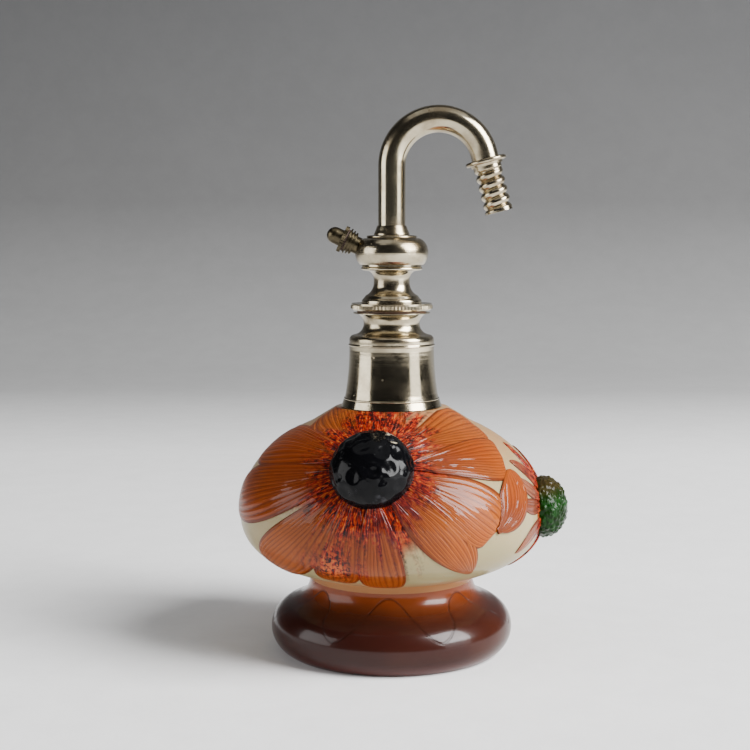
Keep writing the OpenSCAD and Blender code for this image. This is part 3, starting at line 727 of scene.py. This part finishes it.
def black_finish():
    """Black glass with fine pits."""
    glass, _, _ = settings()
    paint = Paint("black_glass")
    cloud = paint.noise(260.0, 3.0)
    pits = paint.cells(520.0)
    colour = paint.mix(paint.step(cloud, 0.62, 0.80), tuple(glass.black), (0.035, 0.035, 0.040, 1))
    bumps = paint.bump(paint.step(pits, 0.05, 0.30) + cloud * 0.4, 0.06 * MM)
    return glossy_glass(paint, colour, normal=bumps, roughness=0.18, subsurface_weight=0.0, coat_weight=0.16,
                        coat_roughness=0.07)


def green_finish(blossom):
    """Mottled green glass, browned along its upper side."""
    glass, _, _ = settings()
    paint = Paint("green_glass")
    y = flattened(paint, blossom)[1]
    cloud = paint.noise(240.0, 4.0)
    top = paint.step(y + (cloud - 0.5) * 8.0, 3.0, 7.5)
    colour = paint.mix(paint.step(cloud, 0.42, 0.70), tuple(glass.green), (0.004, 0.038, 0.003, 1))
    colour = paint.mix(top * 0.8, colour, (0.034, 0.020, 0.007, 1))
    colour = paint.mix(paint.step(cloud, 0.30, 0.42, 1.0, 0.0) * 0.6, colour, (0.008, 0.030, 0.005, 1))
    bumps = paint.bump(paint.noise(900.0, 3.0), 0.18 * MM)
    return glossy_glass(paint, colour, normal=bumps, roughness=0.28, coat_weight=0.16, coat_roughness=0.08)


def metal_finish(name, colour, tarnish, wear=0.35, rough=0.10, pits=0.04):
    """Old plating: soft clouds of tarnish, scattered pits and fine scratches."""
    paint = Paint(name)
    cloud = paint.noise(95.0, 5.0, rough=0.62)
    grain = paint.noise(1400.0, 3.0)
    x, y, z = paint.parts(paint.place)
    stretched = paint.join(x * 260.0, y * 260.0, z * 2600.0)
    scratch = paint.noise(1.0, 2.0, stretched)
    spot = paint.cells(430.0)
    sparse = paint.step(paint.noise(210.0, 2.0), 0.56, 0.62)
    freckle = paint.step(spot + (grain - 0.5) * 0.4, 0.05, 0.14, 1.0, 0.0) * sparse
    dull = paint.step(cloud, 0.40, 0.64)
    share = dull * wear + freckle * (wear * 0.9)
    base = paint.mix(share, colour, tarnish)
    roughness = rough + dull * 0.09 + freckle * 0.22 + (scratch - 0.5) * 0.05
    height = scratch * 0.10 + grain * 0.20 - freckle * 0.4
    return paint.finish(base_color=base, metallic=1.0, roughness=roughness,
                        normal=paint.bump(height, pits * MM))


def plain_finish(name, colour, second, scale, rough, depth, **sockets):
    """Cork, leather, plaster and fibre: a two-tone grain with matching bumps."""
    paint = Paint(name)
    grain = paint.noise(scale, 5.0, rough=0.6)
    base = paint.mix(paint.step(grain, 0.38, 0.66), colour, second)
    return paint.finish(base_color=base, roughness=rough + (grain - 0.5) * 0.2,
                        normal=paint.bump(grain, depth * MM), **sockets)


FINISHES = {}


def finish(slot):
    """The finish of a material slot, made once."""
    _, metal, _ = settings()
    nickel, tarnish = tuple(metal.nickel), tuple(metal.tarnish)
    metals = {
        "plated_brass": ("plated_brass", nickel, tarnish, 0.75, 0.17, 0.07),
        "polished": ("polished_plate", nickel, tarnish),
        "aged_brass": ("aged_brass", tuple(metal.brass), (0.055, 0.045, 0.028, 1), 0.8, 0.26, 0.10),
        "bright_brass": ("bright_brass", (0.72, 0.50, 0.20, 1), (0.36, 0.22, 0.08, 1), 0.3, 0.2),
    }
    grained = {
        "cork": ((0.42, 0.25, 0.12, 1), (0.20, 0.10, 0.04, 1), 700.0, 0.8, 0.12),
        "leather": ((0.13, 0.06, 0.03, 1), (0.06, 0.03, 0.015, 1), 1200.0, 0.6, 0.06),
        "fibre": ((0.060, 0.030, 0.018, 1), (0.035, 0.018, 0.010, 1), 900.0, 0.7, 0.05),
        "plaster": ((0.66, 0.61, 0.50, 1), (0.50, 0.44, 0.34, 1), 500.0, 0.9, 0.08),
        "clear_glass": ((0.90, 0.94, 0.92, 1), (0.84, 0.90, 0.88, 1), 200.0, 0.06, 0.01),
    }
    clear = {"transmission_weight": 0.92, "ior": 1.47} if slot == "clear_glass" else {}
    if slot not in FINISHES:
        made = metal_finish(*metals[slot]) if slot in metals else plain_finish(slot, *grained[slot], **clear)
        FINISHES[slot] = made
    return FINISHES[slot]


# ---------------------------------------------------------------- operators

class ATOMISER_OT_stage(bpy.types.Operator):
    """Camera, paper sweep and studio lights"""
    bl_idname = "atomiser.stage"
    bl_label = "Camera and studio"

    def execute(self, context):
        _, _, stage = settings()
        camera = bpy.data.objects.new("camera", bpy.data.cameras.new("camera"))
        camera.data.lens = stage.lens
        camera.data.clip_start = 0.01
        camera.location = (0, -stage.distance, stage.height)
        camera.rotation_euler = (math.pi / 2 - stage.pitch, 0, stage.pan)
        context.scene.collection.objects.link(camera)
        context.scene.camera = camera

        t = np.linspace(0, 1, 61)
        bend, back = 0.45, 0.75
        angle = np.clip(t * 2 - 0.5, 0, 1) * math.pi / 2
        y = back + bend * np.sin(angle) + np.where(t < 0.25, (t - 0.25) * 4 * 1.9, 0)
        z = bend * (1 - np.cos(angle)) + np.where(t > 0.75, (t - 0.75) * 4 * 1.6, 0)
        x = np.linspace(-2.2, 2.2, 3)
        points = np.stack(np.broadcast_arrays(x[None, :], y[:, None], z[:, None]), -1).reshape(-1, 3)
        sweep = new_object("paper_sweep", points, grid_faces(61, 3, wrap_columns=False))
        paint = Paint("paper")
        fibre = paint.noise(55.0, 4.0, rough=0.65)
        blotch = paint.noise(9.0, 3.0)
        _, depth, height = paint.parts(paint.place)
        mottle = paint.step(fibre * 0.6 + blotch * 0.4, 0.35, 0.65)
        white = paint.mix(mottle, (0.95, 0.95, 0.95, 1), (1.0, 1.0, 1.0, 1))
        # Painted shade: the paper is painted darker the further it lies back and up the sweep, standing in
        # for the light falling off.
        away = (depth - 0.40).math("MAXIMUM", 0.0) + height
        painted_shade = paint.ramp(away / 1.2, [(0.0, (0.92, 0.92, 0.92, 1)), (0.37, (0.40, 0.40, 0.40, 1)),
                                        (0.72, (0.16, 0.16, 0.16, 1)), (1.0, (0.11, 0.11, 0.112, 1))])
        paper = paint.mix(1.0, white, painted_shade, "MULTIPLY")
        sweep.data.materials.append(paint.finish(base_color=paper, roughness=0.9, specular_ior_level=0.1,
                                                 normal=paint.bump(fibre, 0.3 * MM)))

        for name, turn, rise, away, wide, tall, power in (
                ("key_box", 66.0, 34.0, 1.60, 0.90, 1.10, stage.key_power),
                ("right_strip", 64.0, 12.0, 0.85, 0.44, 0.44, stage.strip_power),
                ("fill_box", -76.0, 14.0, 0.90, 0.62, 0.50, stage.fill_power),
                ("top_box", 5.0, 84.0, 1.15, 1.30, 0.90, stage.top_power)):
            lamp = bpy.data.lights.new(name, "AREA")
            lamp.shape = "RECTANGLE"
            lamp.size = wide
            lamp.size_y = tall
            lamp.energy = power
            a, b = math.radians(turn), math.radians(rise)
            out = np.array((math.sin(a) * math.cos(b), -math.cos(a) * math.cos(b), math.sin(b)))
            place = np.array((0, 0, 0.07)) + away * out
            side, up, back_way = basis(out)
            made = bpy.data.objects.new(name, lamp)
            rows = [[side[i], up[i], back_way[i], place[i]] for i in range(3)]
            made.matrix_world = Matrix(rows + [[0, 0, 0, 1]])
            context.scene.collection.objects.link(made)
        world = bpy.data.worlds.new("room")
        world.use_nodes = True
        world.node_tree.nodes["Background"].inputs["Color"].default_value = (0.62, 0.64, 0.66, 1)
        world.node_tree.nodes["Background"].inputs["Strength"].default_value = 0.040
        context.scene.world = world
        return {"FINISHED"}


PARTS = {}


def blossoms():
    """The glass surface and the three flowers on it, worked out once."""
    if not PARTS:
        glass = Glass()
        PARTS["glass"] = glass
        for name in ("front", "side", "rear"):
            PARTS[name] = Blossom(glass, name + "_cabochon")
    return PARTS


class ATOMISER_OT_bottle(bpy.types.Operator):
    """The blown bottle and its foot"""
    bl_idname = "atomiser.bottle"
    bl_label = "Bottle and foot"

    def execute(self, context):
        parts = blossoms()
        hearts = ((parts["front"], 16.0), (parts["side"], 8.0), (parts["rear"], 12.0))
        piece = turned("bottle_glass", smoothed(section_of("bottle_body"), spacing=0.7 * MM), steps=224)
        settle(piece, "bottle_body", bottle_finish(hearts))
        piece = turned("foot_glass", smoothed(section_of("foot"), spacing=0.5 * MM), steps=224)
        settle(piece, "foot", foot_finish())
        return {"FINISHED"}


class ATOMISER_OT_petals(bpy.types.Operator):
    """Carved petals of the three flowers"""
    bl_idname = "atomiser.petals"
    bl_label = "Petals"

    def execute(self, context):
        glass, _, _ = settings()
        parts = blossoms()
        # root, tip, half width, bow, lines a side, bluntness and layer of each petal. Root and tip lie on the
        # glass, in millimetres to the right of and above the flower's heart.
        front = [
            ((0, 6), (-3, 32), 13, 0, 6, 0.30, 0.00),
            ((-4, 6), (-36, 25), 11, -2, 6, 0.40, 0.05),
            ((6, 6), (48, 15), 10, 5, 6, 0.30, 0.05),
            ((-7, 3), (-55, 1), 9, -5, 6, 0.40, 0.20),
            ((-4, -7), (-12, -40), 7, 1, 5, 0.28, 0.00),
            ((-6, -5), (-37, -36), 9, 3, 6, 0.30, 0.12),
            ((-8, -1), (-59, -16), 9, 1, 6, 0.50, 0.28),
            ((5, -7), (29, -35), 7, 3, 6, 0.80, 0.10),
            ((8, -3), (36, -20), 9, 2, 6, 0.22, 0.18),
            ((1, -8), (3, -44), 6.5, 1, 5, 0.30, 0.34),
            ((9, 1), (45, 1), 8, 2, 7, 0.16, 0.30),
            ((36, -20), (44, -3), 6.5, -4, 5, 0.60, 0.38),
        ]
        side_count, rear_count = 12, 9
        side = []
        for k in range(side_count):
            way = TAU * k / side_count + 0.2 * math.sin(5 * k)
            reach = 24 + 4 * math.sin(3.1 * k)
            out = np.array((math.cos(way), math.sin(way)))
            side.append((out * 6, out * reach, 2.5, 1.5 * math.cos(2.3 * k), 2, 0.7, 0.10 * (k % 3)))
        rear = []
        for k in range(rear_count):
            way = TAU * k / rear_count + 0.2 * math.sin(4 * k)
            out = np.array((math.cos(way), 0.72 * math.sin(way)))
            rear.append((out * 6, out * (38 + 9 * abs(math.cos(way))), 9, 3 * math.cos(1.7 * k), 6, 0.35,
                         0.12 * (k % 3)))
        amber = (tuple(glass.amber), tuple(glass.amber_dark), (0.29, 0.068, 0.009, 1))
        front_glass = petal_finish("front_petal_glass", parts["front"], 14.5, *amber, lobe=(-12.0, -25.0))
        petals("front_petals", parts["front"], front, front_glass)
        rear_glass = petal_finish("rear_petal_glass", parts["rear"], 12.0, *amber)
        petals("rear_petals", parts["rear"], rear, rear_glass)
        brown = ((0.17, 0.045, 0.022, 1), (0.060, 0.012, 0.008, 1), (0.24, 0.085, 0.045, 1))
        side_glass = petal_finish("side_petal_glass", parts["side"], 10.0, *brown)
        petals("side_petals", parts["side"], side, side_glass, (26, 31, 5))
        return {"FINISHED"}


class ATOMISER_OT_cabochons(bpy.types.Operator):
    """Moulded glass hearts of the flowers"""
    bl_idname = "atomiser.cabochons"
    bl_label = "Cabochons"

    def execute(self, context):
        parts = blossoms()
        pits, rng = scattered(46, 3)
        widths = rng.uniform(0.07, 0.19, len(pits))
        deep = rng.uniform(0.08, 0.40, len(pits)) * MM

        def dimpled(direction):
            away = near(direction, pits) / widths
            bowl = -np.exp(-away**2) * deep
            lip = np.exp(-((away - 1.5) / 0.5) ** 2) * deep * 0.35
            return (bowl + lip).sum(-1)

        buds, rng = scattered(260, 5, 1.1)
        bud_height = 0.50 * MM
        sizes = rng.uniform(0.4, 1.0, len(buds)) * bud_height

        def bumpy(direction):
            away = near(direction, buds) / 0.085
            return (np.exp(-away**2) * sizes).max(-1)

        # The rear cabochon keeps the plain black glass that comes with the frame.
        for name, shape, material, room in (
                ("front", dimpled, black_finish(), 0),
                ("rear", dimpled, bpy.data.materials["black_glass"], 0),
                ("side", bumpy, green_finish(parts["side"]), 0.35 * MM)):
            node = name + "_cabochon"
            blossom = parts[name]
            corners = blossom.local(corners_of(node))
            radius, height = np.abs(corners[:, 0]).max() - room, corners[:, 2].max() - room
            piece = dome_mesh(node + "_glass", blossom, radius, height, shape)
            settle(piece, node, material)
        return {"FINISHED"}


class ATOMISER_OT_fittings(bpy.types.Operator):
    """Turned fittings, drawn again with smooth curves, and the finish of every other piece"""
    bl_idname = "atomiser.fittings"
    bl_label = "Fittings"

    def execute(self, context):
        _, metal, _ = settings()
        hose = MOUNTS["hose_end"]
        tail = (np.array(hose["pos_m"]), np.array(hose["axis"]))
        upright = ((0, 0, 0), (0, 0, 1))
        for node, (origin, axis) in {
                "collar": upright, "throat": upright, "stem": upright, "head_base": upright,
                "head_cap": upright, "ferrule": upright, "hose_stop": tail}.items():
            section = smoothed(section_of(node, origin, axis), spacing=0.2 * MM)
            piece = turned(node + "_metal", section, origin, axis, metal.turns)
            settle(piece, node, finish("polished" if node == "collar" else "plated_brass"))
        spiral_rib("hose_spigot_metal", "hose_spigot", *tail, finish("plated_brass"))
        for node in frame["nodes"]:
            if SLOT_OF[node] not in ("amber_glass", "foot_glass", "black_glass", "green_glass"):
                coat(node, finish(SLOT_OF[node]))
        return {"FINISHED"}


class ATOMISER_PT_panel(bpy.types.Panel):
    """Sizes, colours and the steps that draw the atomiser"""
    bl_idname = "ATOMISER_PT_panel"
    bl_label = "Perfume atomiser"
    bl_space_type = "VIEW_3D"
    bl_region_type = "UI"
    bl_category = "Atomiser"

    def draw(self, context):
        for group in settings():
            box = self.layout.box()
            for name in group.__annotations__:
                box.prop(group, name)
        for step in STEPS:
            self.layout.operator(step.bl_idname)


STEPS = (ATOMISER_OT_stage, ATOMISER_OT_bottle, ATOMISER_OT_petals, ATOMISER_OT_cabochons,
         ATOMISER_OT_fittings)
GROUPS = {"atomiser_glass": GlassSettings, "atomiser_metal": MetalSettings, "atomiser_stage": StageSettings}


def register():
    for made in (*GROUPS.values(), *STEPS, ATOMISER_PT_panel):
        bpy.utils.register_class(made)
    for name, group in GROUPS.items():
        setattr(bpy.types.Scene, name, PointerProperty(type=group))


def unregister():
    for name in GROUPS:
        delattr(bpy.types.Scene, name)
    for made in (ATOMISER_PT_panel, *reversed(STEPS), *reversed(GROUPS.values())):
        bpy.utils.unregister_class(made)


def main():
    register()
    bpy.ops.atomiser.stage()
    bpy.ops.atomiser.bottle()
    bpy.ops.atomiser.petals()
    bpy.ops.atomiser.cabochons()
    bpy.ops.atomiser.fittings()


if __name__ == "__main__":
    main()
